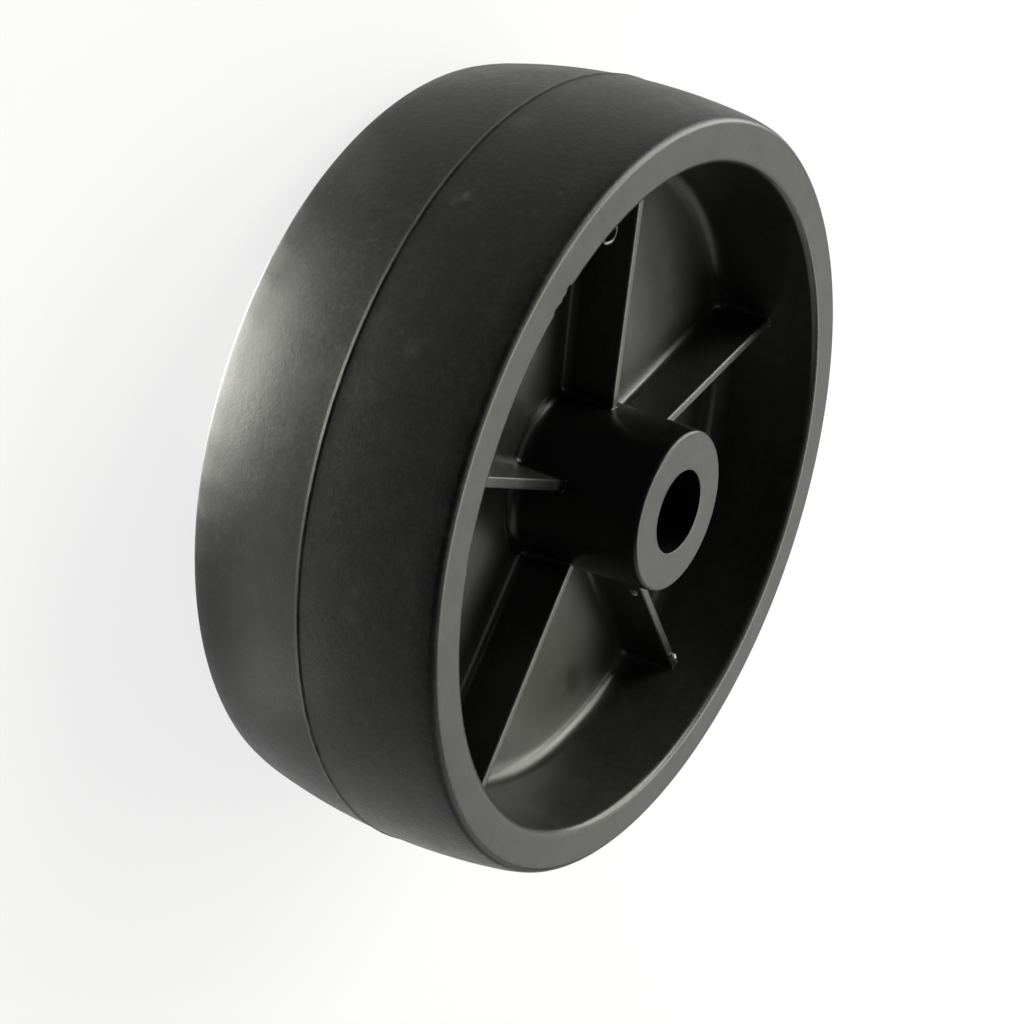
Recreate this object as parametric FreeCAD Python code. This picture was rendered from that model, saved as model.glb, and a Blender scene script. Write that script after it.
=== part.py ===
import FreeCAD, Part
import math
import os

Vector = FreeCAD.Vector
CENTRE = Vector(0, 0, 0)
AXIS = Vector(0, 0, 1)

# Driving sizes, in millimetres and degrees. The wheel turns about Z, and its
# middle plane, where the two halves of the mould met, is z = 0.

# Tread, from its crown out to the two rim faces
tread_diameter = 127.0
rim_width = 42.5
crown_radius = 99.0
shoulder_radius = 26.0
shoulder_width = 6.4
tread_edge_radius = 0.5

# Flash line, the thin raised seam round the middle of the tread
flash_width = 0.9
flash_height = 0.3
flash_crest_radius = 0.12

# Rim, from the crown in to its inner wall at the web, which widens towards both mouths
rim_thickness = 10.4
rim_draft = 1.7
lip_radius = 1.2

# Web, the flat disc between rim and hub
web_thickness = 5.5
rim_fillet = 3.0
hub_fillet = 2.0

# Hub, which stands proud of both rim faces, and its bore
hub_length = 50.2
hub_end_diameter = 26.2
hub_draft = 2.0
hub_edge_radius = 0.6
bore_diameter = 13.6

# Ribs, alike on both sides of the web
rib_count = 5
rib_setback = 9.8
rib_tip_thickness = 1.8
rib_draft = 2.0
rib_fillet = 1.5

# Sizes closer than this count as the same when a finished edge is looked up
tolerance = 1e-4

# Sizes worked out from the ones above
half_width = rim_width / 2
half_web = web_thickness / 2
half_hub = hub_length / 2
bore_radius = bore_diameter / 2
hub_end_radius = hub_end_diameter / 2
hub_slope = math.tan(math.radians(hub_draft))
hub_root_radius = hub_end_radius + (half_hub - half_web) * hub_slope
wall_slope = math.tan(math.radians(rim_draft))
crown_top = tread_diameter / 2
rim_root_radius = crown_top - rim_thickness
rim_mouth_radius = rim_root_radius + (half_width - half_web) * wall_slope
rib_tip_z = half_width - rib_setback
rib_root_thickness = rib_tip_thickness + 2 * rib_tip_z * math.tan(math.radians(rib_draft))


def arc(start, middle, end):
    return Part.Arc(start, middle, end).toShape()


def line(start, end):
    return Part.LineSegment(start, end).toShape()


def on_circle(centre, radius, angle):
    return centre + Vector(math.cos(angle), 0, math.sin(angle)) * radius


def tread_outline():
    """The crowned tread of one side, from the flash line out to the rim face."""
    crown_centre = Vector(crown_top - crown_radius, 0, 0)
    seam_turn = math.asin(flash_width / 2 / crown_radius)
    shoulder_turn = math.asin((half_width - shoulder_width) / crown_radius)
    shoulder_centre = on_circle(crown_centre, crown_radius - shoulder_radius, shoulder_turn)
    edge_turn = math.asin((half_width - shoulder_centre.z) / shoulder_radius)

    seam_top = Vector(crown_top + flash_height, 0, 0)
    seam_foot = on_circle(crown_centre, crown_radius, seam_turn)
    crown_middle = on_circle(crown_centre, crown_radius, (seam_turn + shoulder_turn) / 2)
    crown_end = on_circle(crown_centre, crown_radius, shoulder_turn)
    shoulder_middle = on_circle(shoulder_centre, shoulder_radius, (shoulder_turn + edge_turn) / 2)
    shoulder_end = on_circle(shoulder_centre, shoulder_radius, edge_turn)
    return [
        line(seam_top, seam_foot),
        arc(seam_foot, crown_middle, crown_end),
        arc(crown_end, shoulder_middle, shoulder_end),
    ]


def half_section():
    """Section of one side of the wheel, from the middle plane outwards, with sharp corners."""
    tread = tread_outline()
    seam_top = tread[0].firstVertex().Point
    face_edge = tread[-1].lastVertex().Point
    corners = [
        face_edge,
        Vector(rim_mouth_radius, 0, half_width),
        Vector(rim_root_radius, 0, half_web),
        Vector(hub_root_radius, 0, half_web),
        Vector(hub_end_radius, 0, half_hub),
        Vector(bore_radius, 0, half_hub),
        Vector(bore_radius, 0, 0),
        seam_top,
    ]
    straight = [line(a, b) for a, b in zip(corners, corners[1:])]
    return Part.Face(Part.Wire(tread + straight))


def ring_edges(shape, radius, height):
    """The circular edges of this radius at this height, on both sides of the wheel."""
    found = []
    for edge in shape.Edges:
        curve = edge.Curve
        if not isinstance(curve, Part.Circle):
            continue
        same_radius = abs(curve.Radius - radius) < tolerance
        same_height = abs(abs(curve.Center.z) - height) < tolerance
        if same_radius and same_height:
            found.append(edge)
    return found


def turned_body():
    """Rim, web and hub as one turned form, with its rounded rings."""
    upper = half_section().revolve(CENTRE, AXIS, 360)
    lower = upper.mirror(CENTRE, AXIS)
    body = upper.fuse(lower).removeSplitter()
    face_radius = tread_outline()[-1].lastVertex().Point.x
    rings = [
        (crown_top + flash_height, 0, flash_crest_radius),
        (face_radius, half_width, tread_edge_radius),
        (rim_mouth_radius, half_width, lip_radius),
        (rim_root_radius, half_web, rim_fillet),
        (hub_root_radius, half_web, hub_fillet),
        (hub_end_radius, half_hub, hub_edge_radius),
    ]
    for radius, height, rounding in rings:
        body = body.makeFillet(rounding, ring_edges(body, radius, height))
    return body


def rib_blade():
    """One rib of each side as a single tapered bar, from inside the hub to inside the rim."""
    start = (bore_radius + hub_end_radius) / 2
    end = (rim_mouth_radius + crown_top) / 2
    tip = rib_tip_thickness / 2
    root = rib_root_thickness / 2
    outline = [
        Vector(start, tip, rib_tip_z),
        Vector(start, root, 0),
        Vector(start, tip, -rib_tip_z),
        Vector(start, -tip, -rib_tip_z),
        Vector(start, -root, 0),
        Vector(start, -tip, rib_tip_z),
    ]
    section = Part.Face(Part.makePolygon(outline + outline[:1]))
    return section.extrude(Vector(end - start, 0, 0))


def rib_side_faces(shape):
    """The flat drafted sides of all the ribs."""
    sides = []
    steepest = math.sin(math.radians(rib_draft)) + tolerance
    for face in shape.Faces:
        if not isinstance(face.Surface, Part.Plane):
            continue
        normal = face.normalAt(0, 0)
        if abs(normal.z) < steepest:
            sides.append(face)
    return sides


def rib_root_edges(shape):
    """Where the ribs' sides meet web, hub and rim: every edge but the one along the tip."""
    roots = []
    for face in rib_side_faces(shape):
        for edge in face.Edges:
            heights = [abs(vertex.Z) for vertex in edge.Vertexes]
            if min(heights) < rib_tip_z - tolerance:
                roots.append(edge)
    return roots


def wheel():
    body = turned_body()
    blades = []
    for index in range(rib_count):
        blade = rib_blade()
        blade.rotate(CENTRE, AXIS, index * 360 / rib_count)
        blades.append(blade)
    ribbed = body.multiFuse(blades)
    return ribbed.makeFillet(rib_fillet, rib_root_edges(ribbed))


os.makedirs("parts", exist_ok=True)
part = wheel()
part.exportStep("parts/wheel.step")
print("solids", len(part.Solids), "valid", part.isValid(), "faces", len(part.Faces))
print("box", part.BoundBox, "volume cm3", round(part.Volume / 1000, 2))
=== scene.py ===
import math

import bmesh
import bpy
import numpy as np
from bpy.props import FloatProperty, FloatVectorProperty, IntProperty, PointerProperty
from mathutils import Matrix, Vector, noise


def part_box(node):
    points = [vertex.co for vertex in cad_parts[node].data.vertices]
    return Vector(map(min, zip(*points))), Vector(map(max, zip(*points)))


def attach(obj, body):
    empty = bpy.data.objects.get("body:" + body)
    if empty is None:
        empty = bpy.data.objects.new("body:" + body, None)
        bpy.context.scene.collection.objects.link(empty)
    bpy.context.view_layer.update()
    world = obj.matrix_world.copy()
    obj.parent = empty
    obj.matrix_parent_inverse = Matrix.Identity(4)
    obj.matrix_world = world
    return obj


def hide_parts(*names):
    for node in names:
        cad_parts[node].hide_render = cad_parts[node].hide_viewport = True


bl_info = {
    "name": "Moulded plastic wheel",
    "version": (1, 0, 0),
    "blender": (4, 5, 0),
    "location": "3D View > Sidebar > Wheel",
    "description": "Builds a black moulded wheel with its flash and its studio",
    "category": "Add Mesh",
}

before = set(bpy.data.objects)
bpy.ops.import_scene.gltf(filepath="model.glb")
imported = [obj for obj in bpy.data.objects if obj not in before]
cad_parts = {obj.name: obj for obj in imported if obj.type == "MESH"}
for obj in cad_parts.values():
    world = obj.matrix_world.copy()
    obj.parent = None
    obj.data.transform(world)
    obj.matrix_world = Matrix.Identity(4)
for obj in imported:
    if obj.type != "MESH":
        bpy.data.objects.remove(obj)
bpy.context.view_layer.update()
WHEEL_LOW, WHEEL_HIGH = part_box("wheel")
QUARTER_TURN = math.radians(90)


def length(label, text, default):
    return FloatProperty(name=label, description=text, default=default, min=0.0, precision=5,
                         unit="LENGTH", subtype="DISTANCE")


def angle(label, text, degrees):
    return FloatProperty(name=label, description=text, default=math.radians(degrees), subtype="ANGLE")


def fraction(label, text, default):
    return FloatProperty(name=label, description=text, default=default, min=0.0, max=1.0,
                         subtype="FACTOR")


def colour(label, text, default):
    return FloatVectorProperty(name=label, description=text, default=default, size=3,
                               min=0.0, max=1.0, subtype="COLOR")


class WheelSizes(bpy.types.PropertyGroup):
    """Sizes of the wheel, in metres. The outer ones come from the frame."""
    seam_radius: length("Seam radius", "Axis to the crest of the flash line", WHEEL_HIGH.x)
    hub_length: length("Hub length", "From one hub end to the other", WHEEL_HIGH.z - WHEEL_LOW.z)
    seam_height: length("Seam height", "How far the flash line stands off the crown", 0.0003)
    seam_width: length("Seam width", "Width of the flash line at its foot", 0.0009)
    seam_smear: length("Seam smear", "How much wider its foot is on the back half", 0.0003)
    seam_wobble: length("Seam wobble", "How uneven its crest is", 0.00009)
    rim_width: length("Rim width", "From one rim face to the other", 0.0430)
    crown_radius: length("Crown radius", "Curve across the middle of the tread", 0.099)
    shoulder_radius: length("Shoulder radius", "Curve across the tread's shoulders", 0.020)
    shoulder_width: length("Shoulder width", "How much of each side of the tread is shoulder", 0.0036)
    edge_radius: length("Tread edge radius", "Rounding between tread and rim face", 0.0014)
    rim_thickness: length("Rim thickness", "From the crown in to the inner wall at the web", 0.0104)
    rim_draft: angle("Rim draft", "Draft of the inner wall", 2.7)
    lip_radius: length("Lip radius", "Rounding between rim face and inner wall", 0.0013)
    web_thickness: length("Web thickness", "Thickness of the disc between rim and hub", 0.0055)
    rim_fillet: length("Rim fillet", "Fillet between web and inner wall", 0.003)
    hub_fillet: length("Hub fillet", "Fillet between web and hub", 0.002)
    hub_end_diameter: length("Hub end diameter", "Outer diameter at each hub end", 0.0262)
    hub_draft: angle("Hub draft", "Draft of the hub", 2.0)
    hub_edge_radius: length("Hub edge radius", "Rounding of the hub ends", 0.0006)
    bore_diameter: length("Bore diameter", "Plain bore for the axle", 0.0136)
    bore_edge_radius: length("Bore edge radius", "Tiny rounding at the bore's ends", 0.00012)
    rib_setback: length("Rib setback", "From the rim face back to the ribs' tips at the hub", 0.0098)
    rib_rise: length("Rib rise", "How much higher the ribs' tips are at the rim", 0.0008)
    rib_tip_thickness: length("Rib tip thickness", "Thickness of a rib at its tip", 0.0018)
    rib_draft: angle("Rib draft", "Draft of the ribs' sides", 2.0)
    rib_fillet: length("Rib fillet", "Fillet at the root of each rib", 0.0015)
    rib_edge_radius: length("Rib edge radius", "Softened long edges of the rib tips", 0.00040)
    rib_end_fillet: length("Rib end fillet", "Where a rib's tip runs into rim and hub", 0.0003)
    rib_count: IntProperty(name="Ribs", description="Ribs on each side", default=5, min=3, max=9)


class WheelFinish(bpy.types.PropertyGroup):
    """Colours and gloss of the plastic, and the floor's colour."""
    # The tread's black is also painted on the hub's side, as painted shade
    tread_colour: colour("Tread", "Matt black of the tread", (0.005, 0.005, 0.0049))
    dish_colour: colour("Dish", "Slightly dusty black of dish and faces", (0.026, 0.0262, 0.0245))
    # Painted highlight: the flash line's back flank, where light falls, is painted this paler colour
    seam_colour: colour("Flash line", "Rubbed, dusty crest of the flash line", (0.026, 0.0255, 0.019))
    # Pale dust and scuffs; the same colour paints the light on the web's lower panel and the highlight on
    # the tread's top
    scuff_colour: colour("Scuffs", "Pale dust and scuffs", (0.20, 0.195, 0.165))
    # Painted highlight: near-white painted on the burrs so that they shine bright
    burr_colour: colour("Burrs", "Plastic whitened where it was torn", (0.55, 0.55, 0.52))
    floor_colour: colour("Floor", "Pale floor", (0.86, 0.86, 0.86))
    dish_roughness: fraction("Dish roughness", "Roughness in the dish", 0.35)
    tread_roughness: fraction("Tread roughness", "Roughness of the tread", 0.42)
    face_roughness: fraction("Face roughness", "Roughness of rim faces and hub ends", 0.33)
    dish_coat: fraction("Dish sheen", "Smooth skin in the dish", 0.6)
    face_coat: fraction("Face sheen", "Smooth skin of rim faces and hub ends", 0.4)
    coat_roughness: fraction("Sheen roughness", "Roughness of the smooth skin", 0.24)
    grain_depth: length("Grain depth", "Relief of the surface's fine grain", 0.00005)
    grain_strength: fraction("Grain strength", "How strongly the grain shows", 0.6)


class Finish:
    """One material's node tree. Its methods add nodes and hand back wrapped sockets."""

    def __init__(self, name):
        self.material = bpy.data.materials.new(name)
        self.material.use_nodes = True
        self.tree = self.material.node_tree
        self.tree.nodes.clear()

    def node(self, kind, settings=None, **inputs):
        """Adds a node of this type, with its settings first and then its sockets' values or links."""
        made = self.tree.nodes.new(kind)
        for key, value in (settings or {}).items():
            setattr(made, key, value)
        for key, value in inputs.items():
            self.plug(made, key.replace("_", " "), value)
        return made

    def plug(self, node, key, value):
        socket = node.inputs[int(key)] if key.isdigit() else node.inputs[key]
        if isinstance(value, Socket):
            self.tree.links.new(value.out, socket)
        elif isinstance(value, bpy.types.NodeSocket):
            self.tree.links.new(value, socket)
        elif hasattr(value, "__len__") and len(value) == 3 and socket.type == "RGBA":
            socket.default_value = (*value, 1.0)
        else:
            socket.default_value = value

    def position(self):
        """Where the point lies on the object, in metres."""
        return Socket(self, self.node("ShaderNodeTexCoord").outputs["Object"])

    def split(self, vector):
        made = self.node("ShaderNodeSeparateXYZ", Vector=vector)
        return [Socket(self, made.outputs[axis]) for axis in "XYZ"]

    def noise(self, vector, scale, detail, roughness):
        made = self.node("ShaderNodeTexNoise", Vector=vector, Scale=scale, Detail=detail,
                         Roughness=roughness)
        return Socket(self, made.outputs["Fac"])

    def cells(self, vector, scale):
        made = self.node("ShaderNodeTexVoronoi", Vector=vector, Scale=scale)
        return Socket(self, made.outputs["Distance"])

    def distance(self, vector, point):
        made = self.node("ShaderNodeVectorMath", {"operation": "DISTANCE"})
        self.plug(made, "0", vector)
        self.plug(made, "1", point)
        return Socket(self, made.outputs["Value"])

    def grey(self, value):
        made = self.node("ShaderNodeCombineColor")
        for index in range(3):
            self.plug(made, str(index), value)
        return Socket(self, made.outputs["Color"])

    def mix(self, factor, first, second, blend="MIX"):
        """Mixes two colours. Sockets 0, 6 and 7 are its factor and its two colours."""
        made = self.node("ShaderNodeMix", {"data_type": "RGBA", "blend_type": blend})
        self.plug(made, "0", factor)
        self.plug(made, "6", first)
        self.plug(made, "7", second)
        return Socket(self, made.outputs[2])

    def bump(self, height, distance, strength):
        made = self.node("ShaderNodeBump", Height=height, Distance=distance, Strength=strength)
        return Socket(self, made.outputs["Normal"])

    def output(self, surface):
        made = self.node("ShaderNodeOutputMaterial")
        self.tree.links.new(surface, made.inputs["Surface"])
        return self.material

    def plastic(self, **inputs):
        """Adds the Principled shader and the output."""
        return self.output(self.node("ShaderNodeBsdfPrincipled", **inputs).outputs["BSDF"])


class Socket:
    """A number on its way through the shader. Python's operators add Math nodes."""

    def __init__(self, finish, out):
        self.finish = finish
        self.out = out

    def math(self, operation, *values):
        made = self.finish.node("ShaderNodeMath", {"operation": operation})
        for index, value in enumerate(values):
            self.finish.plug(made, str(index), value)
        return Socket(self.finish, made.outputs["Value"])

    def __add__(self, other):
        return self.math("ADD", self, other)

    def __radd__(self, other):
        return self.math("ADD", other, self)

    def __sub__(self, other):
        return self.math("SUBTRACT", self, other)

    def __rsub__(self, other):
        return self.math("SUBTRACT", other, self)

    def __mul__(self, other):
        return self.math("MULTIPLY", self, other)

    def __rmul__(self, other):
        return self.math("MULTIPLY", other, self)

    def __truediv__(self, other):
        return self.math("DIVIDE", self, other)

    def root(self):
        return self.math("SQRT", self)

    def smaller(self, other):
        return self.math("MINIMUM", self, other)

    def size(self):
        return self.math("ABSOLUTE", self)

    def step(self, low, high):
        """0 below low and 1 above high, with a smooth rise between them."""
        made = self.finish.node("ShaderNodeMapRange", {"interpolation_type": "SMOOTHSTEP"},
                                Value=self, From_Min=low, From_Max=high)
        return Socket(self.finish, made.outputs["Result"])


# Where each part of the plastic begins or ends, with a soft edge between the two values: metres
# from the axis (radius) or from the middle plane (height)
TREAD_RADIUS = (0.0603, 0.0609)
FACE_HEIGHT = (0.02135, 0.02145)
WEB_HEIGHT = (0.001, 0.002)
HUB_SIDE_RADIUS = (0.0150, 0.0165)
HUB_END_HEIGHT = (0.02490, 0.02505)
SEAM_RADIUS = (0.06342, 0.0635)
# The painted highlight on the seam, on its back flank that faces the light, while the front flank stays
# dark: half its width, and how far behind the middle plane it lies
SEAM_HIGHLIGHT_HALF_WIDTH = (0.0002, 0.0004)
SEAM_HIGHLIGHT_OFFSET = 0.00028

# The noises that the plastic is mixed from: scale, detail and roughness. They vary about this middle
MOTTLE = (1100.0, 4.0, 0.65)
BLOTCHES = (260.0, 3.0, 0.55)
CLOUDS = (55.0, 3.0, 0.5)
GRAIN = (3000.0, 2.0, 0.6)
NOISE_MIDDLE = 0.5

# How strongly each of them shows in the plastic's shade, roughness, relief and sheen. Those that
# start with tread are added on the tread
SHADE = {"base": 0.25, "clouds": 0.8, "blotches": 0.7, "fine": 0.55, "mottle": 0.9}
ROUGH = {"clouds": 0.16, "blotches": 0.12, "mottle": 0.10, "tread_mottle": 0.14, "seam": 0.06}
RELIEF = {"mottle": 0.5, "tread_mottle": 1.3, "grain": 0.4, "tread_grain": 0.4,
          "blotches": 0.8, "mark": 1.2}
SHEEN = {"base": 0.75, "blotches": 0.5, "mark": 0.5, "hub_side": 0.4}
# Base and mottled shares of the seam's painted highlight
SEAM_HIGHLIGHT_SHARE = {"base": 0.4, "mottle": 0.6}

# Specks on the tread: cells per metre, soft edge within a cell, share of the cells, and strength
SPECKS = (
    (620.0, (0.08, 0.30), 0.45, 0.04),
    (210.0, (0.03, 0.15), 0.42, 0.06),
)
# The noise that chooses their cells: its scale as a share of theirs, detail, roughness, and its edge
SPECK_PATCHES = (0.37, 1.0, 0.5)
SPECK_PATCH_EDGE = 0.03

# Thin dusty film on the tread: soft edges of its mottles and blotches, least cloud, and strengths
FILM_MOTTLE = (0.45, 0.75)
FILM_BLOTCHES = (0.48, 0.72)
FILM_LEAST_CLOUD = 0.4
FILM_BLOTCH_STRENGTH = 0.6
FILM_STRENGTH = 0.05

# Pale patches on the tread, in metres: place, size and strength of each, and how ragged they are. The first
# four are dusty scuffs; the last, on the top of the tread, is a painted highlight where light falls there
SCUFFS_AND_TOP_HIGHLIGHT = (
    ((-0.0179, 0.0608, 0.0043), 0.0010, 0.20),
    ((-0.0191, 0.0605, 0.0032), 0.0011, 0.12),
    ((-0.0393, 0.0493, 0.0086), 0.0014, 0.08),
    ((-0.0603, 0.0184, 0.0087), 0.0016, 0.07),
    # Painted highlight: a pale patch on the top of the tread, where light falls
    ((-0.0005, 0.0634, 0.0024), 0.0024, 0.09),
)
SCUFF_EDGE = (0.0, 1.3)
SCUFF_RAGGED = 2.8
# The most that dust, scuffs and painted light pale the plastic
MOST_DUST_AND_LIGHT = 0.6

# Painted light on the web's lower panel, paler where more light falls there, broken up by cloudy noise: its
# middle, inner and outer reach, the height where it ends, least cloud, and strength
WEB_LIGHT_MIDDLE = (-0.0020, -0.0420, 0.0028)
WEB_LIGHT_REACH = (0.008, 0.026)
WEB_LIGHT_HEIGHT = (0.0030, 0.0060)
WEB_LIGHT_LEAST_CLOUD = 0.5
WEB_LIGHT_STRENGTH = 0.16

# The faint mark an ejector pin left on the web: place and half sizes along X and Y, soft edge as
# shares of them, and strength
EJECTOR_MARK = (-0.0013, -0.0438)
EJECTOR_HALF_SIZES = (0.0026, 0.0040)
EJECTOR_EDGE = (0.35, 1.2)
EJECTOR_STRENGTH = 0.45

# Small burrs on one front rib, near its tip's outer end and on its side by the hub: place and size.
# Up to these shares of the size the burrs are painted near-white, a painted highlight that makes them shine
# bright
BURRS = (
    ((0.0152, -0.0475, 0.0131), 0.00060),
    ((0.0083, -0.0286, 0.0103), 0.00055),
)
BURR_HIGHLIGHT_REACH = (1.1, 1.6)
BURR_HIGHLIGHT_STRENGTH = 0.85

PLASTIC_IOR = 1.3
COAT_IOR = 1.5


def specks(f, place, scale, edge, share):
    """Small spots, one in each of the share of cells that carry one."""
    spots = 1 - f.cells(place, scale).step(*edge)
    finer, detail, roughness = SPECK_PATCHES
    patches = f.noise(place, scale * finer, detail, roughness)
    return spots * patches.step(1 - share, 1 + SPECK_PATCH_EDGE - share)


def black_plastic(look):
    """The one plastic of the wheel: matt and mottled on the tread, satin on faces and in the dish. Some of
    its colour is painted light and shade: highlights on the flash line, the tread's top and the burrs,
    paler light on the lower web, and shade on the hub's side.
    """
    f = Finish("Black plastic")
    place = f.position()
    x, y, z = f.split(place)
    radius = (x * x + y * y).root()
    mottle, blotches, clouds, grain = (f.noise(place, *kind) for kind in (MOTTLE, BLOTCHES, CLOUDS, GRAIN))
    tread = radius.step(*TREAD_RADIUS)
    face = z.size().step(*FACE_HEIGHT)
    front = z.step(*WEB_HEIGHT)
    # Painted shade: the hub's side, deep in the dish, gets the tread's darker black and less sheen
    hub_side = (1 - radius.step(*HUB_SIDE_RADIUS)) * (1 - z.size().step(*HUB_END_HEIGHT))
    # Mask of the flash line's back flank, which carries its painted highlight and a little more roughness
    seam = (1 - (z + SEAM_HIGHLIGHT_OFFSET).size().step(*SEAM_HIGHLIGHT_HALF_WIDTH)) * radius.step(*SEAM_RADIUS)

    film = mottle.step(*FILM_MOTTLE) * (FILM_LEAST_CLOUD + clouds)
    film = film + blotches.step(*FILM_BLOTCHES) * FILM_BLOTCH_STRENGTH
    dust_and_painted_light = film * FILM_STRENGTH
    for scale, edge, share, strength in SPECKS:
        dust_and_painted_light = dust_and_painted_light + specks(f, place, scale, edge, share) * strength
    dust_and_painted_light = dust_and_painted_light * tread
    for spot, size, strength in SCUFFS_AND_TOP_HIGHLIGHT:
        away = f.distance(place, spot) / size + (mottle - NOISE_MIDDLE) * SCUFF_RAGGED
        dust_and_painted_light = dust_and_painted_light + (1 - away.step(*SCUFF_EDGE)) * strength
    # Painted light: the lower web panel is painted paler, as if lit more than the rest of the dish
    web_painted_light = 1 - f.distance(place, WEB_LIGHT_MIDDLE).step(*WEB_LIGHT_REACH)
    web_painted_light = web_painted_light * (1 - z.step(*WEB_LIGHT_HEIGHT)) * front
    dust_and_painted_light = dust_and_painted_light + web_painted_light * (WEB_LIGHT_LEAST_CLOUD + clouds) * WEB_LIGHT_STRENGTH
    mark_x = (x - EJECTOR_MARK[0]) / EJECTOR_HALF_SIZES[0]
    mark_y = (y - EJECTOR_MARK[1]) / EJECTOR_HALF_SIZES[1]
    mark = (1 - (mark_x * mark_x + mark_y * mark_y).root().step(*EJECTOR_EDGE)) * front

    # The tread's black on the hub's side is painted shade
    base = f.mix((tread + hub_side).smaller(1.0), look.dish_colour, look.tread_colour)
    # Painted highlight on the flash line's lit back flank
    base = f.mix(seam * (SEAM_HIGHLIGHT_SHARE["base"] + mottle * SEAM_HIGHLIGHT_SHARE["mottle"]), base, look.seam_colour)
    shade = SHADE["base"] + clouds * SHADE["clouds"] + blotches * SHADE["blotches"]
    shade = shade * (SHADE["fine"] + mottle * SHADE["mottle"])
    base = f.mix(1.0, base, f.grey(shade), "MULTIPLY")
    # Dust, scuffs and specks, with the painted light on the lower web and the painted highlight on the
    # tread's top
    base = f.mix(dust_and_painted_light.smaller(MOST_DUST_AND_LIGHT), base, look.scuff_colour)
    base = f.mix(mark * EJECTOR_STRENGTH, base, look.tread_colour)
    # Painted highlight on the burrs
    for spot, size in BURRS:
        burr_highlight = 1 - f.distance(place, spot).step(*(size * share for share in BURR_HIGHLIGHT_REACH))
        base = f.mix(burr_highlight * BURR_HIGHLIGHT_STRENGTH, base, look.burr_colour)

    rough = (look.dish_roughness + tread * (look.tread_roughness - look.dish_roughness)
             + face * (look.face_roughness - look.dish_roughness))
    rough = rough + (clouds - NOISE_MIDDLE) * ROUGH["clouds"]
    rough = rough + (blotches - NOISE_MIDDLE) * ROUGH["blotches"]
    rough = rough + (mottle - NOISE_MIDDLE) * (ROUGH["mottle"] + tread * ROUGH["tread_mottle"])
    rough = rough + seam * ROUGH["seam"]
    height = mottle * (RELIEF["mottle"] + tread * RELIEF["tread_mottle"])
    height = height + grain * (RELIEF["grain"] + tread * RELIEF["tread_grain"])
    height = height + blotches * RELIEF["blotches"] - mark * RELIEF["mark"]
    coat = (1 - tread) * (look.dish_coat + face * (look.face_coat - look.dish_coat))
    coat = coat * (SHEEN["base"] + blotches * SHEEN["blotches"])
    coat = coat * (1 - mark * SHEEN["mark"]) * (1 - hub_side * SHEEN["hub_side"])
    return f.plastic(Base_Color=base, Roughness=rough, IOR=PLASTIC_IOR, Coat_Weight=coat,
                     Coat_Roughness=look.coat_roughness, Coat_IOR=COAT_IOR,
                     Normal=f.bump(height, look.grain_depth, look.grain_strength))


class Form:
    """A mesh under construction: rows of points, and quads between them."""

    WELD = 1e-7

    def __init__(self):
        self.points = []
        self.faces = []

    def row(self, points):
        start = len(self.points)
        self.points.extend(tuple(float(v) for v in p) for p in points)
        return list(range(start, len(self.points)))

    def bridge(self, first, second, closed=True):
        count = len(first)
        for i in range(count if closed else count - 1):
            j = (i + 1) % count
            quad = [first[i], first[j], second[j], second[i]]
            self.faces.append([v for k, v in enumerate(quad) if v not in quad[:k]])

    def skin(self, rows, closed=True):
        """Quads between each row and the next one."""
        for low, high in zip(rows, rows[1:]):
            self.bridge(low, high, closed)

    def capped(self, rings):
        """A closed skin over these rings, with a face at each end."""
        self.skin(rings)
        self.faces += [rings[0], rings[-1]]

    def build(self, name, material):
        mesh = bpy.data.meshes.new(name)
        mesh.from_pydata(self.points, [], [face for face in self.faces if len(face) > 2])
        shape = bmesh.new()
        shape.from_mesh(mesh)
        bmesh.ops.remove_doubles(shape, verts=shape.verts, dist=self.WELD)
        bmesh.ops.recalc_face_normals(shape, faces=shape.faces)
        for face in shape.faces:
            face.smooth = True
        shape.to_mesh(mesh)
        shape.free()
        mesh.materials.append(material)
        made = bpy.data.objects.new(name, mesh)
        bpy.context.scene.collection.objects.link(made)
        return made


def polar(angles, radius, height):
    """Points on a circle, or on one row whose radii differ, at these angles."""
    radius = np.broadcast_to(radius, np.shape(angles))
    height = np.broadcast_to(height, np.shape(angles))
    return np.c_[radius * np.cos(angles), radius * np.sin(angles), height]


def turned(points, turn):
    """Points turned about the axis."""
    c, s = math.cos(turn), math.sin(turn)
    out = np.array(points, float)
    out[:, 0] = points[:, 0] * c - points[:, 1] * s
    out[:, 1] = points[:, 0] * s + points[:, 1] * c
    return out


def on_arc(centre, radius, turns):
    """Radius and height of points on an arc of the wheel's section."""
    return [(centre[0] + radius * math.cos(turn), centre[1] + radius * math.sin(turn)) for turn in turns]


def smooth(t):
    return t * t * (3 - 2 * t)


def waver(angles, beats, seed):
    """Smooth uneven values between about -1 and 1 round a circle, with this many beats a radian."""
    return np.array([noise.noise((math.cos(a) * beats, math.sin(a) * beats, seed)) for a in angles])


# How the flash line's crest wavers, in and across: beats a radian, seed and share of its wobble
CREST_WAVERS = ((24.0, 1.0, 1.0), (70.0, 2.0, 0.6))
ACROSS_WAVER = (17.0, 3.0, 1.4)

# Chips out of the front lip, as the photograph shows them: degrees round the wheel, half width, depth
LIP_CHIPS = (
    (114.6, 0.00055, 0.00028),
    (110.8, 0.00080, 0.00032),
    (112.6, 0.00030, 0.00015),
    (152.8, 0.00060, 0.00018),
)
CHIP_WAVER = (90.0, 4.0, 0.4)
CHIP_DROP = 0.6
# How far a chip reaches over the lip and down the inner wall, in lip radii
CHIP_REACH = (1.3, 1.6)


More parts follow.
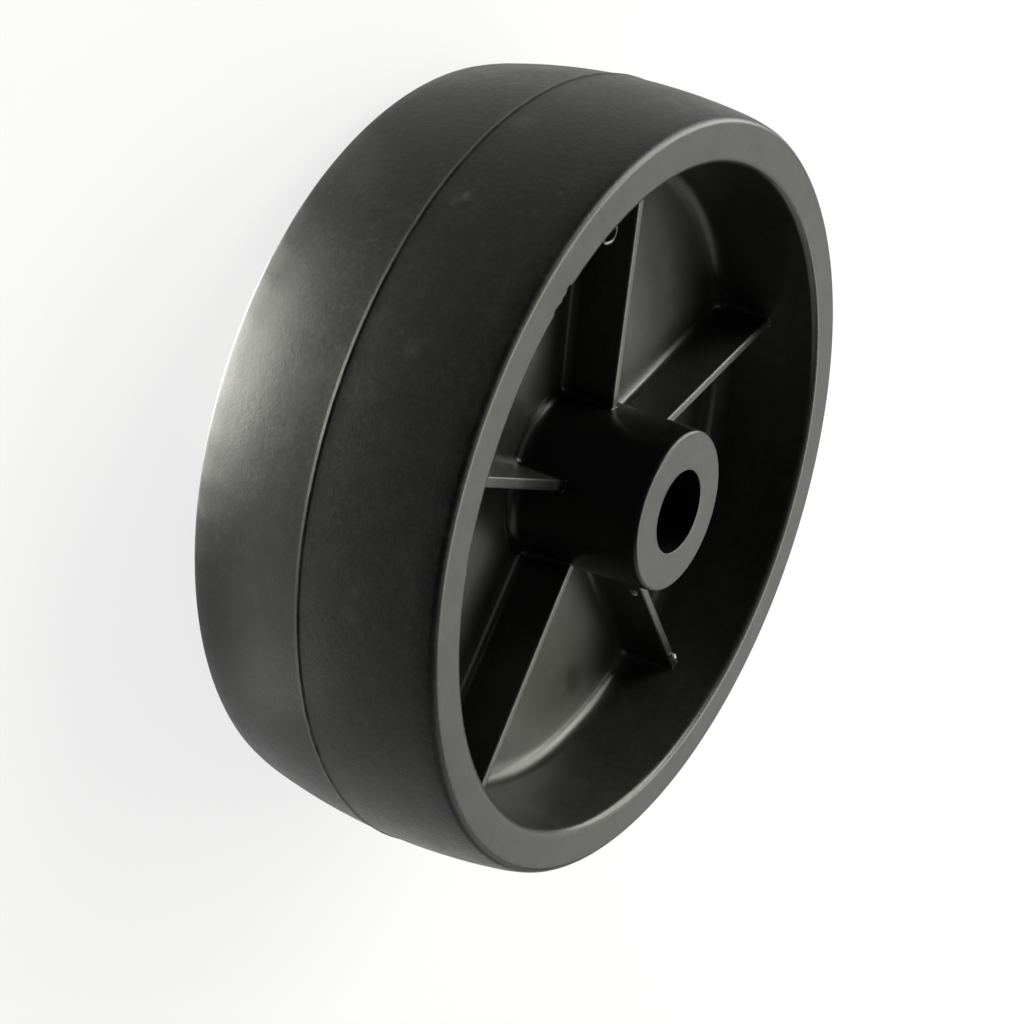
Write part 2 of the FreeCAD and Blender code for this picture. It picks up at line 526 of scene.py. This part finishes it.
class Section:
    """The wheel's section, worked out from its sizes: walls, fillets and the tread's outline."""

    # Steps along a pocket's outline, with the arcs' points crowded towards the corners by CROWDING
    ARC_STEPS = 56
    CORNER_STEPS = 6
    SIDE_STEPS = 20
    CROWDING = 0.5

    # Rows up a pocket and across a rib's tip
    FILLET_ROWS = 9
    WALL_ROWS = 3
    EDGE_ROWS = 3
    RIB_STEPS = 5

    # Points along the section, from rim wall to seam and from hub wall to the middle of the bore
    RIM_WALL_POINTS = 5
    LIP_POINTS = 11
    FACE_SHARES = (0.12, 0.5, 0.88)
    EDGE_POINTS = 9
    SHOULDER_POINTS = 8
    CROWN_POINTS = 9
    SEAM_SHARES = (0.3, 0.6, 0.85)
    HUB_WALL_POINTS = 6
    HUB_EDGE_POINTS = 6
    HUB_FACE_SHARES = (0.35, 0.7)
    BORE_EDGE_POINTS = 4
    BORE_SHARES = (0.75, 0.5, 0.25)

    # Roundings of a pocket's corners, in metres, at its floor and at the ribs' tips
    SHARP = 0.00012
    TIP_CORNER = 0.0004

    def __init__(self, s):
        self.s = s
        self.half_width = s.rim_width / 2
        self.half_web = s.web_thickness / 2
        self.half_hub = s.hub_length / 2
        self.crown_top = s.seam_radius - s.seam_height
        self.wall_slope = math.tan(s.rim_draft)
        self.hub_slope = math.tan(s.hub_draft)
        self.root = self.crown_top - s.rim_thickness
        self.tip = self.half_width - s.rib_setback
        self.rim_tip = self.tip + s.rib_rise
        self.half_pitch = math.pi / s.rib_count
        self.side_points = 2 * self.CORNER_STEPS + self.SIDE_STEPS

    def wall(self, z):
        return self.root + (z - self.half_web) * self.wall_slope

    def hub(self, z):
        return self.s.hub_end_diameter / 2 + (self.half_hub - z) * self.hub_slope

    def corner(self, centre, radius, start, end):
        """The inner points of one corner rounding and their normals into the pocket."""
        turns = np.linspace(start, end, self.CORNER_STEPS + 1)[1:-1]
        out = np.c_[np.cos(turns), np.sin(turns)]
        return np.array(centre) + radius * out, -out

    def half_outline(self, heights, insets, rounding):
        """One half of a pocket's outline, from the middle of its rim arc to the middle of its hub arc.
        heights and insets are for rib side, rim wall and hub. All four corners have this rounding."""
        s = self.s
        c, n = math.cos(self.half_pitch), math.sin(self.half_pitch)
        along, inward = np.array([c, n]), np.array([n, -c])
        gap = s.rib_tip_thickness / 2 + (self.tip - heights[0]) * math.tan(s.rib_draft) + insets[0]
        wall = self.wall(heights[1]) - insets[1]
        hub = self.hub(heights[2]) + insets[2]
        run = math.sqrt((wall - rounding) ** 2 - (gap + rounding) ** 2)
        rim_centre = run * along + (gap + rounding) * inward
        hub_run = math.sqrt((hub + rounding) ** 2 - (gap + rounding) ** 2)
        hub_centre = hub_run * along + (gap + rounding) * inward
        rim_turn = math.atan2(rim_centre[1], rim_centre[0])
        hub_turn = math.atan2(hub_centre[1], hub_centre[0])
        side_turn = self.half_pitch + QUARTER_TURN
        rim_corner, rim_normals = self.corner(rim_centre, rounding, rim_turn, side_turn)
        hub_corner, hub_normals = self.corner(hub_centre, rounding, side_turn, hub_turn + math.pi)
        steps = np.linspace(0, 1, self.SIDE_STEPS + 1)[:, None]
        side = (1 - steps) * (run * along + gap * inward) + steps * (hub_run * along + gap * inward)
        return {
            "rim_turn": rim_turn, "hub_turn": hub_turn, "wall": wall, "hub": hub,
            "points": np.vstack([rim_corner, side, hub_corner]),
            "normals": np.vstack([rim_normals, np.tile(inward, (len(side), 1)), hub_normals]),
        }

    def outline(self, heights, insets, rounding):
        """A pocket's closed outline, its normals and its heights, with the pocket's middle along +X."""
        half = self.half_outline(heights, insets, rounding)
        steps = np.linspace(-1, 1, self.ARC_STEPS + 1)
        steps = steps * (1 - self.CROWDING + self.CROWDING * steps**2)
        rim = half["rim_turn"] * steps
        hub = half["hub_turn"] * -steps
        rim_out = np.c_[np.cos(rim), np.sin(rim)]
        hub_out = np.c_[np.cos(hub), np.sin(hub)]
        flip = np.array([1, -1])
        points = np.vstack([half["wall"] * rim_out, half["points"],
                            half["hub"] * hub_out, half["points"][::-1] * flip])
        normals = np.vstack([-rim_out, half["normals"], hub_out, half["normals"][::-1] * flip])
        rib, rim_side, hub_side = self.shares()
        z = rib * heights[0] + rim_side * heights[1] + hub_side * heights[2]
        return points, normals, z

    def shares(self):
        """How far each point of an outline belongs to a rib, to the rim and to the hub."""
        blend = smooth(np.arange(1, self.CORNER_STEPS) / self.CORNER_STEPS)
        arc, side = np.ones(self.ARC_STEPS + 1), np.ones(self.SIDE_STEPS + 1)
        rib = np.r_[arc * 0, blend, side, 1 - blend, arc * 0, blend, side, 1 - blend]
        rim = np.r_[arc, 1 - blend, side * 0, blend * 0, arc * 0, blend * 0, side * 0, blend]
        hub = np.r_[arc * 0, blend * 0, side * 0, blend, arc, 1 - blend, side * 0, blend * 0]
        return rib, rim, hub

    def tip_height(self, radius):
        """Height of the ribs' tips at this radius, with their fillets into rim and hub."""
        fillet = self.s.rib_end_fillet
        outer, inner = self.wall(self.rim_tip), self.hub(self.tip)
        slope = self.s.rib_rise * np.clip((radius - inner) / (outer - inner), 0, 1)
        near = np.clip(fillet - np.minimum(outer - radius, radius - inner), 0, fillet)
        return self.tip + slope + fillet - np.sqrt(np.maximum(fillet**2 - near**2, 0))

    def pocket_rows(self):
        """Rows of one pocket from its floor up to the edge of the rib tips, as 3D points."""
        s = self.s
        fillets = np.array([s.rib_fillet, s.rim_fillet, s.hub_fillet])
        rows = []
        for step in range(self.FILLET_ROWS + 1):
            turn = QUARTER_TURN * step / self.FILLET_ROWS
            insets = fillets * (1 - math.sin(turn))
            heights = self.half_web + fillets * (1 - math.cos(turn))
            rounding = s.rib_fillet * math.sin(turn) + self.SHARP * (1 - math.sin(turn))
            points, _, z = self.outline(heights, insets, rounding)
            rows.append(np.c_[points, z])
        edge = s.rib_edge_radius
        rim_top, hub_top = self.rim_tip + s.rib_end_fillet, self.tip + s.rib_end_fillet
        heights = np.array([self.tip, rim_top, hub_top]) - edge
        points, normals, _ = self.outline(heights, np.zeros(3), self.TIP_CORNER)
        top = self.tip_height(np.hypot(points[:, 0], points[:, 1]))
        first, last = rows[-1], np.c_[points, top - edge]
        for step in range(1, self.WALL_ROWS + 1):
            share = step / self.WALL_ROWS
            rows.append(first * (1 - share) + last * share)
        rib, rim, hub = self.shares()
        slope = rim * self.wall_slope + hub * self.hub_slope
        for step in range(1, self.EDGE_ROWS + 1):
            share = step / self.EDGE_ROWS
            turn = QUARTER_TURN * share
            lift = edge * (rib * math.sin(turn) + (1 - rib) * share)
            out = edge * rib * (1 - math.cos(turn)) + lift * slope
            rows.append(np.c_[points - normals * out[:, None], top - edge + lift])
        return rows

    def sides(self, ring):
        """A pocket ring's four sides: along the rim, the later rib, the hub and the earlier rib. Hub and
        earlier rib run backwards, so that opposite sides run the same way."""
        arc, side = self.ARC_STEPS, self.side_points
        closed = list(ring) + [ring[0]]
        return (closed[:arc + 1], closed[arc:arc + side + 1],
                closed[arc + side:2 * arc + side + 1][::-1], closed[2 * arc + side:][::-1])

    def floor_grid(self, ring):
        """Points that fill a pocket's floor between its innermost ring's four sides."""
        rim, plus, hub, minus = (np.array(points) for points in self.sides(ring))
        runs = np.linalg.norm(np.diff(plus, axis=0), axis=1)
        v = np.r_[0, np.cumsum(runs)] / runs.sum()
        u = np.linspace(0, 1, self.ARC_STEPS + 1)
        uu, vv = np.meshgrid(u, v, indexing="ij")
        uu, vv = uu[..., None], vv[..., None]
        edges = (1 - vv) * rim[:, None] + vv * hub[:, None] + (1 - uu) * minus[None] + uu * plus[None]
        corners = ((1 - uu) * (1 - vv) * rim[0] + uu * (1 - vv) * rim[-1]
                   + (1 - uu) * vv * hub[0] + uu * vv * hub[-1])
        return edges - corners

    def uneven(self, angles, radius, height, side):
        """Radius and height of one ring with the wheel's flaws: a wavering flash line and chipped lip."""
        s = self.s
        crest = np.clip((radius - self.crown_top) / s.seam_height, 0, 1) * s.seam_wobble
        waves = sum(share * waver(angles, beats, seed) for beats, seed, share in CREST_WAVERS)
        radii = radius - crest * (1 + waves)
        beats, seed, share = ACROSS_WAVER
        heights = height + side * crest * share * waver(angles, beats, seed)
        over, down = (reach * s.lip_radius for reach in CHIP_REACH)
        on_lip = self.root < radius < self.wall(self.half_width) + over and height > self.half_width - down
        if side > 0 and on_lip:
            beats, seed, share = CHIP_WAVER
            ragged = 1 + share * waver(angles, beats, seed)
            for turn, half_width, depth in LIP_CHIPS:
                away = np.abs((angles - math.radians(turn) + math.pi) % math.tau - math.pi) * radius
                cut = depth * np.exp(-((away / half_width) ** 2)) * ragged
                radii = radii + cut
                heights = heights - CHIP_DROP * cut
        return radii, heights

    def rim_profile(self, seam_foot):
        """Radius and height from the ribs' ends up the inner wall, over the face and tread, to the seam."""
        s = self.s
        start = self.rim_tip + s.rib_end_fillet
        lip_z = self.half_width - s.lip_radius
        lip_r = self.wall(lip_z) + s.lip_radius / math.cos(s.rim_draft)
        wall_end = lip_z + s.lip_radius * math.sin(s.rim_draft)
        out = [(self.wall(z), z) for z in np.linspace(start, wall_end, self.RIM_WALL_POINTS)]
        lip_turns = np.linspace(math.pi - s.rim_draft, QUARTER_TURN, self.LIP_POINTS)[1:]
        out += on_arc((lip_r, lip_z), s.lip_radius, lip_turns)
        crown_r = self.crown_top - s.crown_radius
        shoulder_turn = math.asin((self.half_width - s.shoulder_width) / s.crown_radius)
        reach = s.crown_radius - s.shoulder_radius
        shoulder_r = crown_r + reach * math.cos(shoulder_turn)
        shoulder_z = reach * math.sin(shoulder_turn)
        edge_z = self.half_width - s.edge_radius
        edge_reach = s.shoulder_radius - s.edge_radius
        edge_r = shoulder_r + math.sqrt(edge_reach**2 - (edge_z - shoulder_z) ** 2)
        out += [(lip_r + (edge_r - lip_r) * share, self.half_width) for share in self.FACE_SHARES]
        edge_turn = math.atan2(edge_z - shoulder_z, edge_r - shoulder_r)
        edge_turns = np.linspace(QUARTER_TURN, edge_turn, self.EDGE_POINTS)
        out += on_arc((edge_r, edge_z), s.edge_radius, edge_turns)
        shoulder_turns = np.linspace(edge_turn, shoulder_turn, self.SHOULDER_POINTS)[1:]
        out += on_arc((shoulder_r, shoulder_z), s.shoulder_radius, shoulder_turns)
        foot_turn = math.asin(seam_foot / s.crown_radius)
        crown_turns = np.linspace(shoulder_turn, foot_turn, self.CROWN_POINTS)[1:]
        out += on_arc((crown_r, 0.0), s.crown_radius, crown_turns)
        for share in self.SEAM_SHARES:
            out.append((self.crown_top + s.seam_height * share, seam_foot * (1 - share)))
        return out

    def hub_profile(self):
        """Radius and height from the ribs' ends up the hub, over its end and down the bore."""
        s = self.s
        start = self.tip + s.rib_end_fillet
        edge_z = self.half_hub - s.hub_edge_radius
        edge_r = self.hub(edge_z) - s.hub_edge_radius / math.cos(s.hub_draft)
        wall_end = edge_z + s.hub_edge_radius * math.sin(s.hub_draft)
        out = [(self.hub(z), z) for z in np.linspace(start, wall_end, self.HUB_WALL_POINTS)]
        edge_turns = np.linspace(s.hub_draft, QUARTER_TURN, self.HUB_EDGE_POINTS)[1:]
        out += on_arc((edge_r, edge_z), s.hub_edge_radius, edge_turns)
        bore = s.bore_diameter / 2
        bore_r = bore + s.bore_edge_radius
        bore_z = self.half_hub - s.bore_edge_radius
        out += [(edge_r + (bore_r - edge_r) * share, self.half_hub) for share in self.HUB_FACE_SHARES]
        bore_turns = np.linspace(QUARTER_TURN, math.pi, self.BORE_EDGE_POINTS)
        out += on_arc((bore_r, bore_z), s.bore_edge_radius, bore_turns)
        out += [(bore, self.half_hub * share) for share in self.BORE_SHARES]
        return out


def pocket(form, section, rows, turn, flip):
    """Builds one pocket. Hands back its top row's points and their numbers in the mesh."""
    rings = [form.row(turned(row, turn) * flip) for row in rows]
    form.skin(rings)
    form.skin([form.row(line) for line in section.floor_grid(turned(rows[0], turn)) * flip], closed=False)
    return turned(rows[-1], turn), rings[-1]


def rib_tip(form, section, before, after, flip):
    """Builds the tip of the rib between two pockets. Hands back the rows across it, from rim to hub, each
    with the angles of its inner points."""
    left, left_ring = (section.sides(side)[1] for side in before)
    right, right_ring = (section.sides(side)[3] for side in after)
    rows = []
    for a, b, a_index, b_index in zip(left, right, left_ring, right_ring):
        start, end = math.atan2(a[1], a[0]), math.atan2(b[1], b[0])
        end += math.tau if end < start - math.pi else 0
        turns = np.linspace(start, end, section.RIB_STEPS + 1)[1:-1]
        inner = form.row(polar(turns, math.hypot(a[0], a[1]), a[2]) * flip)
        rows.append(([a_index] + inner + [b_index], turns))
    form.skin([row for row, _ in rows], closed=False)
    return rows


def dish_side(form, section, side):
    """One side of the wheel, front with side 1 and back with side -1. Hands back its last rows on tread
    and bore, each with its points' angles."""
    flip = np.array([1, 1, side])
    count = section.s.rib_count
    rows = section.pocket_rows()
    tops = [pocket(form, section, rows, (k + 0.5) * 2 * section.half_pitch, flip) for k in range(count)]
    rim_ring, rim_angles, hub_ring, hub_angles = [], [], [], []
    for k in range(count):
        points, ring = tops[k]
        across = rib_tip(form, section, tops[k], tops[(k + 1) % count], flip)
        for place, numbers, angles, (row, turns) in ((0, rim_ring, rim_angles, across[0]),
                                                     (2, hub_ring, hub_angles, across[-1])):
            numbers += section.sides(ring)[place] + row[1:-1]
            angles += [math.atan2(p[1], p[0]) for p in section.sides(points)[place]] + list(turns)
    ends = []
    seam_foot = section.s.seam_width / 2 + (section.s.seam_smear if side < 0 else 0)
    for ring, angles, profile in ((rim_ring, np.array(rim_angles), section.rim_profile(seam_foot)),
                                  (hub_ring, np.array(hub_angles), section.hub_profile())):
        for radius, height in profile[1:]:
            radii, heights = section.uneven(angles, radius, height, side)
            upper = form.row(polar(angles, radii, heights) * flip)
            form.bridge(ring, upper)
            ring = upper
        ends.append((ring, angles))
    return ends


class WHEEL_OT_moulding(bpy.types.Operator):
    """Build the moulded wheel with its ribs, roundings and flash line"""
    bl_idname = "wheel.moulding"
    bl_label = "Wheel"

    def execute(self, context):
        sizes = context.scene.wheel_sizes
        form = Form()
        section = Section(sizes)
        (front_tread, angles), (front_bore, bore_angles) = dish_side(form, section, 1)
        (back_tread, _), (back_bore, _) = dish_side(form, section, -1)
        seam = form.row(polar(angles, *section.uneven(angles, sizes.seam_radius, 0.0, 1)))
        form.skin([front_tread, seam, back_tread])
        middle = form.row(polar(bore_angles, sizes.bore_diameter / 2, 0.0))
        form.skin([front_bore, middle, back_bore])
        wheel = form.build("wheel_moulding", black_plastic(context.scene.wheel_finish))
        shade = wheel.modifiers.new("Flat faces stay flat", "WEIGHTED_NORMAL")
        shade.keep_sharp = True
        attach(wheel, "root")
        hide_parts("wheel")
        return {"FINISHED"}


# Thin strand of flash torn from the front lip: a loop through these places, and its half sizes
LOOP_PATH = (
    (-0.0093, 0.0536, 0.0203),
    (-0.0090, 0.0528, 0.0204),
    (-0.0087, 0.0522, 0.0204),
    (-0.0079, 0.0518, 0.0204),
    (-0.0069, 0.0516, 0.0204),
    (-0.0061, 0.0519, 0.0204),
    (-0.0056, 0.0524, 0.0204),
    (-0.0055, 0.0532, 0.0204),
    (-0.0057, 0.0541, 0.0203),
)
LOOP_HALF_WIDTH = 0.00025
LOOP_HALF_THICKNESS = 0.00025


def through(points, count):
    """Points on a smooth curve through these points."""
    points = [Vector(p) for p in points]
    points = [2 * points[0] - points[1]] + points + [2 * points[-1] - points[-2]]
    out = []
    for step in np.linspace(0, len(points) - 3 - 1e-6, count):
        i, t = int(step), step - int(step)
        a, b, c, d = points[i:i + 4]
        out.append(0.5 * (2 * b + (c - a) * t + (2 * a - 5 * b + 4 * c - d) * t**2
                          + (3 * b - a - 3 * c + d) * t**3))
    return out


class WHEEL_OT_flash(bpy.types.Operator):
    """Build the torn loop of flash on the lip and the burrs on the rib"""
    bl_idname = "wheel.flash"
    bl_label = "Flash and burrs"

    SIDES = 10
    LOOP_STEPS = 40
    BURR_STEPS = 7
    # Tilt of a burr's first and last ring from its poles, in radians
    BURR_POLE = 0.12
    # Lumps a metre, how deep they are on loop and burr, and how coarse a burr's are
    LUMPS = 900.0
    LOOP_LUMPS = 0.35
    BURR_LUMPS = 0.45
    BURR_GRAIN = 1.7
    # How much thicker the loop grows towards its two ends
    END_SWELL = 0.5

    def turns(self):
        return np.linspace(0, math.tau, self.SIDES + 1)[:-1]

    def loop(self, form):
        path = through(LOOP_PATH, self.LOOP_STEPS)
        rings = []
        for index, place in enumerate(path):
            ahead = path[min(index + 1, len(path) - 1)] - path[max(index - 1, 0)]
            across = ahead.cross(Vector((0, 0, 1))).normalized()
            rise = across.cross(ahead).normalized()
            swell = 1 + self.LOOP_LUMPS * noise.noise(place * self.LUMPS)
            swell = swell + self.END_SWELL * abs(2 * index / self.LOOP_STEPS - 1) ** 3
            ring = [place + across * math.cos(t) * LOOP_HALF_THICKNESS * swell
                    + rise * math.sin(t) * LOOP_HALF_WIDTH * swell for t in self.turns()]
            rings.append(form.row(ring))
        form.capped(rings)

    def burr(self, form, place, size):
        place = Vector(place)
        rings = []
        for tilt in np.linspace(self.BURR_POLE, math.pi - self.BURR_POLE, self.BURR_STEPS):
            ring = []
            for turn in self.turns():
                out = Vector((math.cos(turn), math.sin(turn), 0.0)) * math.sin(tilt)
                out.z = math.cos(tilt)
                lump = noise.noise(out * self.BURR_GRAIN + place * self.LUMPS)
                ring.append(place + out * size * (1 + self.BURR_LUMPS * lump))
            rings.append(form.row(ring))
        form.capped(rings)

    def execute(self, context):
        form = Form()
        self.loop(form)
        for place, size in BURRS:
            self.burr(form, place, size)
        flash = form.build("wheel_flash", bpy.data.materials["Black plastic"])
        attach(flash, "root")
        return {"FINISHED"}


# The camera stands where the photograph's did: its place in the wheel's frame, in metres, its
# lens, and the directions of the picture's right and up edges.
CAMERA_PLACE = Vector((-0.22701, 0.20950, 0.16453))
CAMERA_RIGHT = Vector((0.547, -0.086, 0.833))
CAMERA_UP = Vector((0.552, 0.785, -0.281))
CAMERA_LENS = 76.15
CAMERA_SENSOR = 36.0
CAMERA_CLIP = (0.01, 50.0)

# Soft boxes: name, azimuth and elevation as seen from the wheel, distance, width, height, brightness
SOFT_BOXES = (
    ("Window", 10.0, 25.0, 1.2, 0.9, 0.8, 5.2),
    ("Window corner", 34.0, 42.0, 1.2, 0.6, 0.5, 6.5),
    ("Window edge", -42.0, 25.0, 1.2, 0.95, 0.5, 1.02),
    ("Skylight", -28.0, 52.0, 1.2, 0.85, 0.5, 5.4),
    ("Fill", 248.0, 28.0, 1.2, 1.9, 0.9, 0.7),
    ("Overhead", 100.0, 88.0, 1.2, 0.9, 0.9, 0.5),
)

# Small overlapping light panels on the floor beside the tread, brightest in the middle of their row:
# azimuth from, to and step, middle, spread, inner and outer radius, width, brightness
PANEL_ROWS = (
    (103, 175, 6, 132.0, 15.0, 0.058, 0.073, 0.022, 14.0),
    (120, 205, 17, 170.0, 45.0, 0.072, 0.102, 0.040, 1.5),
)
PANEL_LIFT = 0.0006
LAMP_COLOUR = (1.0, 1.0, 0.93)
ROOM_COLOUR = (0.9, 0.92, 1.0, 1.0)
ROOM_BRIGHTNESS = 0.04

# Half the floor's side, in metres, and how much of what is seen of it is a plain white glow
FLOOR_HALF_SIDE = 6.0
FLOOR_GLOW = 0.8
WHITE = (1.0, 1.0, 1.0)


def lamp(name, shape, width, height, brightness):
    """An area lamp of this brightness that the camera doesn't see."""
    light = bpy.data.lights.new(name, "AREA")
    light.shape = shape
    light.color = LAMP_COLOUR
    light.size, light.size_y = width, height
    light.energy = math.pi * width * height * brightness
    made = bpy.data.objects.new(name, light)
    made.visible_camera = False
    bpy.context.scene.collection.objects.link(made)
    return made


def soft_box(name, azimuth, elevation, distance, width, height, brightness):
    made = lamp(name, "RECTANGLE", width, height, brightness)
    a, e = math.radians(azimuth), math.radians(elevation)
    made.location = Vector((math.cos(a) * math.cos(e), math.sin(a) * math.cos(e), math.sin(e))) * distance
    made.rotation_mode = "QUATERNION"
    made.rotation_quaternion = (-made.location).to_track_quat("-Z", "Y")


def floor_panels(start, end, step, middle, spread, inner, outer, width, brightness):
    for azimuth in range(start, end, step):
        share = math.exp(-((azimuth - middle) / spread) ** 2)
        made = lamp("Floor panel", "ELLIPSE", width, outer - inner, brightness * share)
        a = math.radians(azimuth)
        reach = (inner + outer) / 2
        made.location = (reach * math.cos(a), reach * math.sin(a), WHEEL_LOW.z + PANEL_LIFT)
        made.rotation_euler = (math.pi, 0, a - QUARTER_TURN)


def pale_floor(floor_colour):
    """A diffuse floor that takes shadows. What the camera and reflections see of it also glows white."""
    f = Finish("Pale floor")
    diffuse = f.node("ShaderNodeBsdfDiffuse", Color=floor_colour)
    glow = f.node("ShaderNodeEmission", Color=WHITE, Strength=1.0)
    path = f.node("ShaderNodeLightPath")
    camera, glossy, through_glass = (Socket(f, path.outputs[kind]) for kind in (
        "Is Camera Ray", "Is Glossy Ray", "Is Transmission Ray"))
    seen = (camera + glossy + through_glass).smaller(1.0)
    blend = f.node("ShaderNodeMixShader")
    f.plug(blend, "0", seen * FLOOR_GLOW)
    f.plug(blend, "1", diffuse.outputs["BSDF"])
    f.plug(blend, "2", glow.outputs["Emission"])
    return f.output(blend.outputs["Shader"])


class WHEEL_OT_studio(bpy.types.Operator):
    """Set up the pale floor, the soft light and the camera"""
    bl_idname = "wheel.studio"
    bl_label = "Studio"

    def floor(self, colours):
        side, level = FLOOR_HALF_SIDE, WHEEL_LOW.z
        form = Form()
        form.bridge(form.row([(-side, -side, level), (side, -side, level)]),
                    form.row([(-side, side, level), (side, side, level)]), closed=False)
        form.build("floor", pale_floor(colours.floor_colour))

    def light(self, scene):
        for box in SOFT_BOXES:
            soft_box(*box)
        for row in PANEL_ROWS:
            floor_panels(*row)
        world = bpy.data.worlds.new("Studio")
        world.use_nodes = True
        background = world.node_tree.nodes["Background"]
        background.inputs["Color"].default_value = ROOM_COLOUR
        background.inputs["Strength"].default_value = ROOM_BRIGHTNESS
        scene.world = world

    def camera(self, scene):
        data = bpy.data.cameras.new("Camera")
        data.lens, data.sensor_width = CAMERA_LENS, CAMERA_SENSOR
        data.clip_start, data.clip_end = CAMERA_CLIP
        camera = bpy.data.objects.new("Camera", data)
        scene.collection.objects.link(camera)
        right = CAMERA_RIGHT.normalized()
        up = (CAMERA_UP - CAMERA_UP.dot(right) * right).normalized()
        turn = Matrix((right, up, right.cross(up))).transposed()
        camera.matrix_world = Matrix.Translation(CAMERA_PLACE) @ turn.to_4x4()
        scene.camera = camera

    def execute(self, context):
        self.floor(context.scene.wheel_finish)
        self.light(context.scene)
        self.camera(context.scene)
        context.scene.view_settings.view_transform = 'Standard'
        return {"FINISHED"}


class WHEEL_PT_panel(bpy.types.Panel):
    """Lists the wheel's pieces"""
    bl_label = "Moulded wheel"
    bl_idname = "WHEEL_PT_panel"
    bl_space_type = "VIEW_3D"
    bl_region_type = "UI"
    bl_category = "Wheel"

    def draw(self, context):
        column = self.layout.column()
        column.operator(WHEEL_OT_moulding.bl_idname)
        column.operator(WHEEL_OT_flash.bl_idname)
        column.operator(WHEEL_OT_studio.bl_idname)
        for group in (context.scene.wheel_sizes, context.scene.wheel_finish):
            for key in group.__annotations__:
                column.prop(group, key)


CLASSES = (WheelSizes, WheelFinish, WHEEL_OT_moulding, WHEEL_OT_flash, WHEEL_OT_studio, WHEEL_PT_panel)


def register():
    for cls in CLASSES:
        bpy.utils.register_class(cls)
    bpy.types.Scene.wheel_sizes = PointerProperty(type=WheelSizes)
    bpy.types.Scene.wheel_finish = PointerProperty(type=WheelFinish)


def unregister():
    del bpy.types.Scene.wheel_finish
    del bpy.types.Scene.wheel_sizes
    for cls in reversed(CLASSES):
        bpy.utils.unregister_class(cls)


def main():
    register()
    bpy.ops.wheel.moulding()
    bpy.ops.wheel.flash()
    bpy.ops.wheel.studio()


if __name__ == "__main__":
    main()
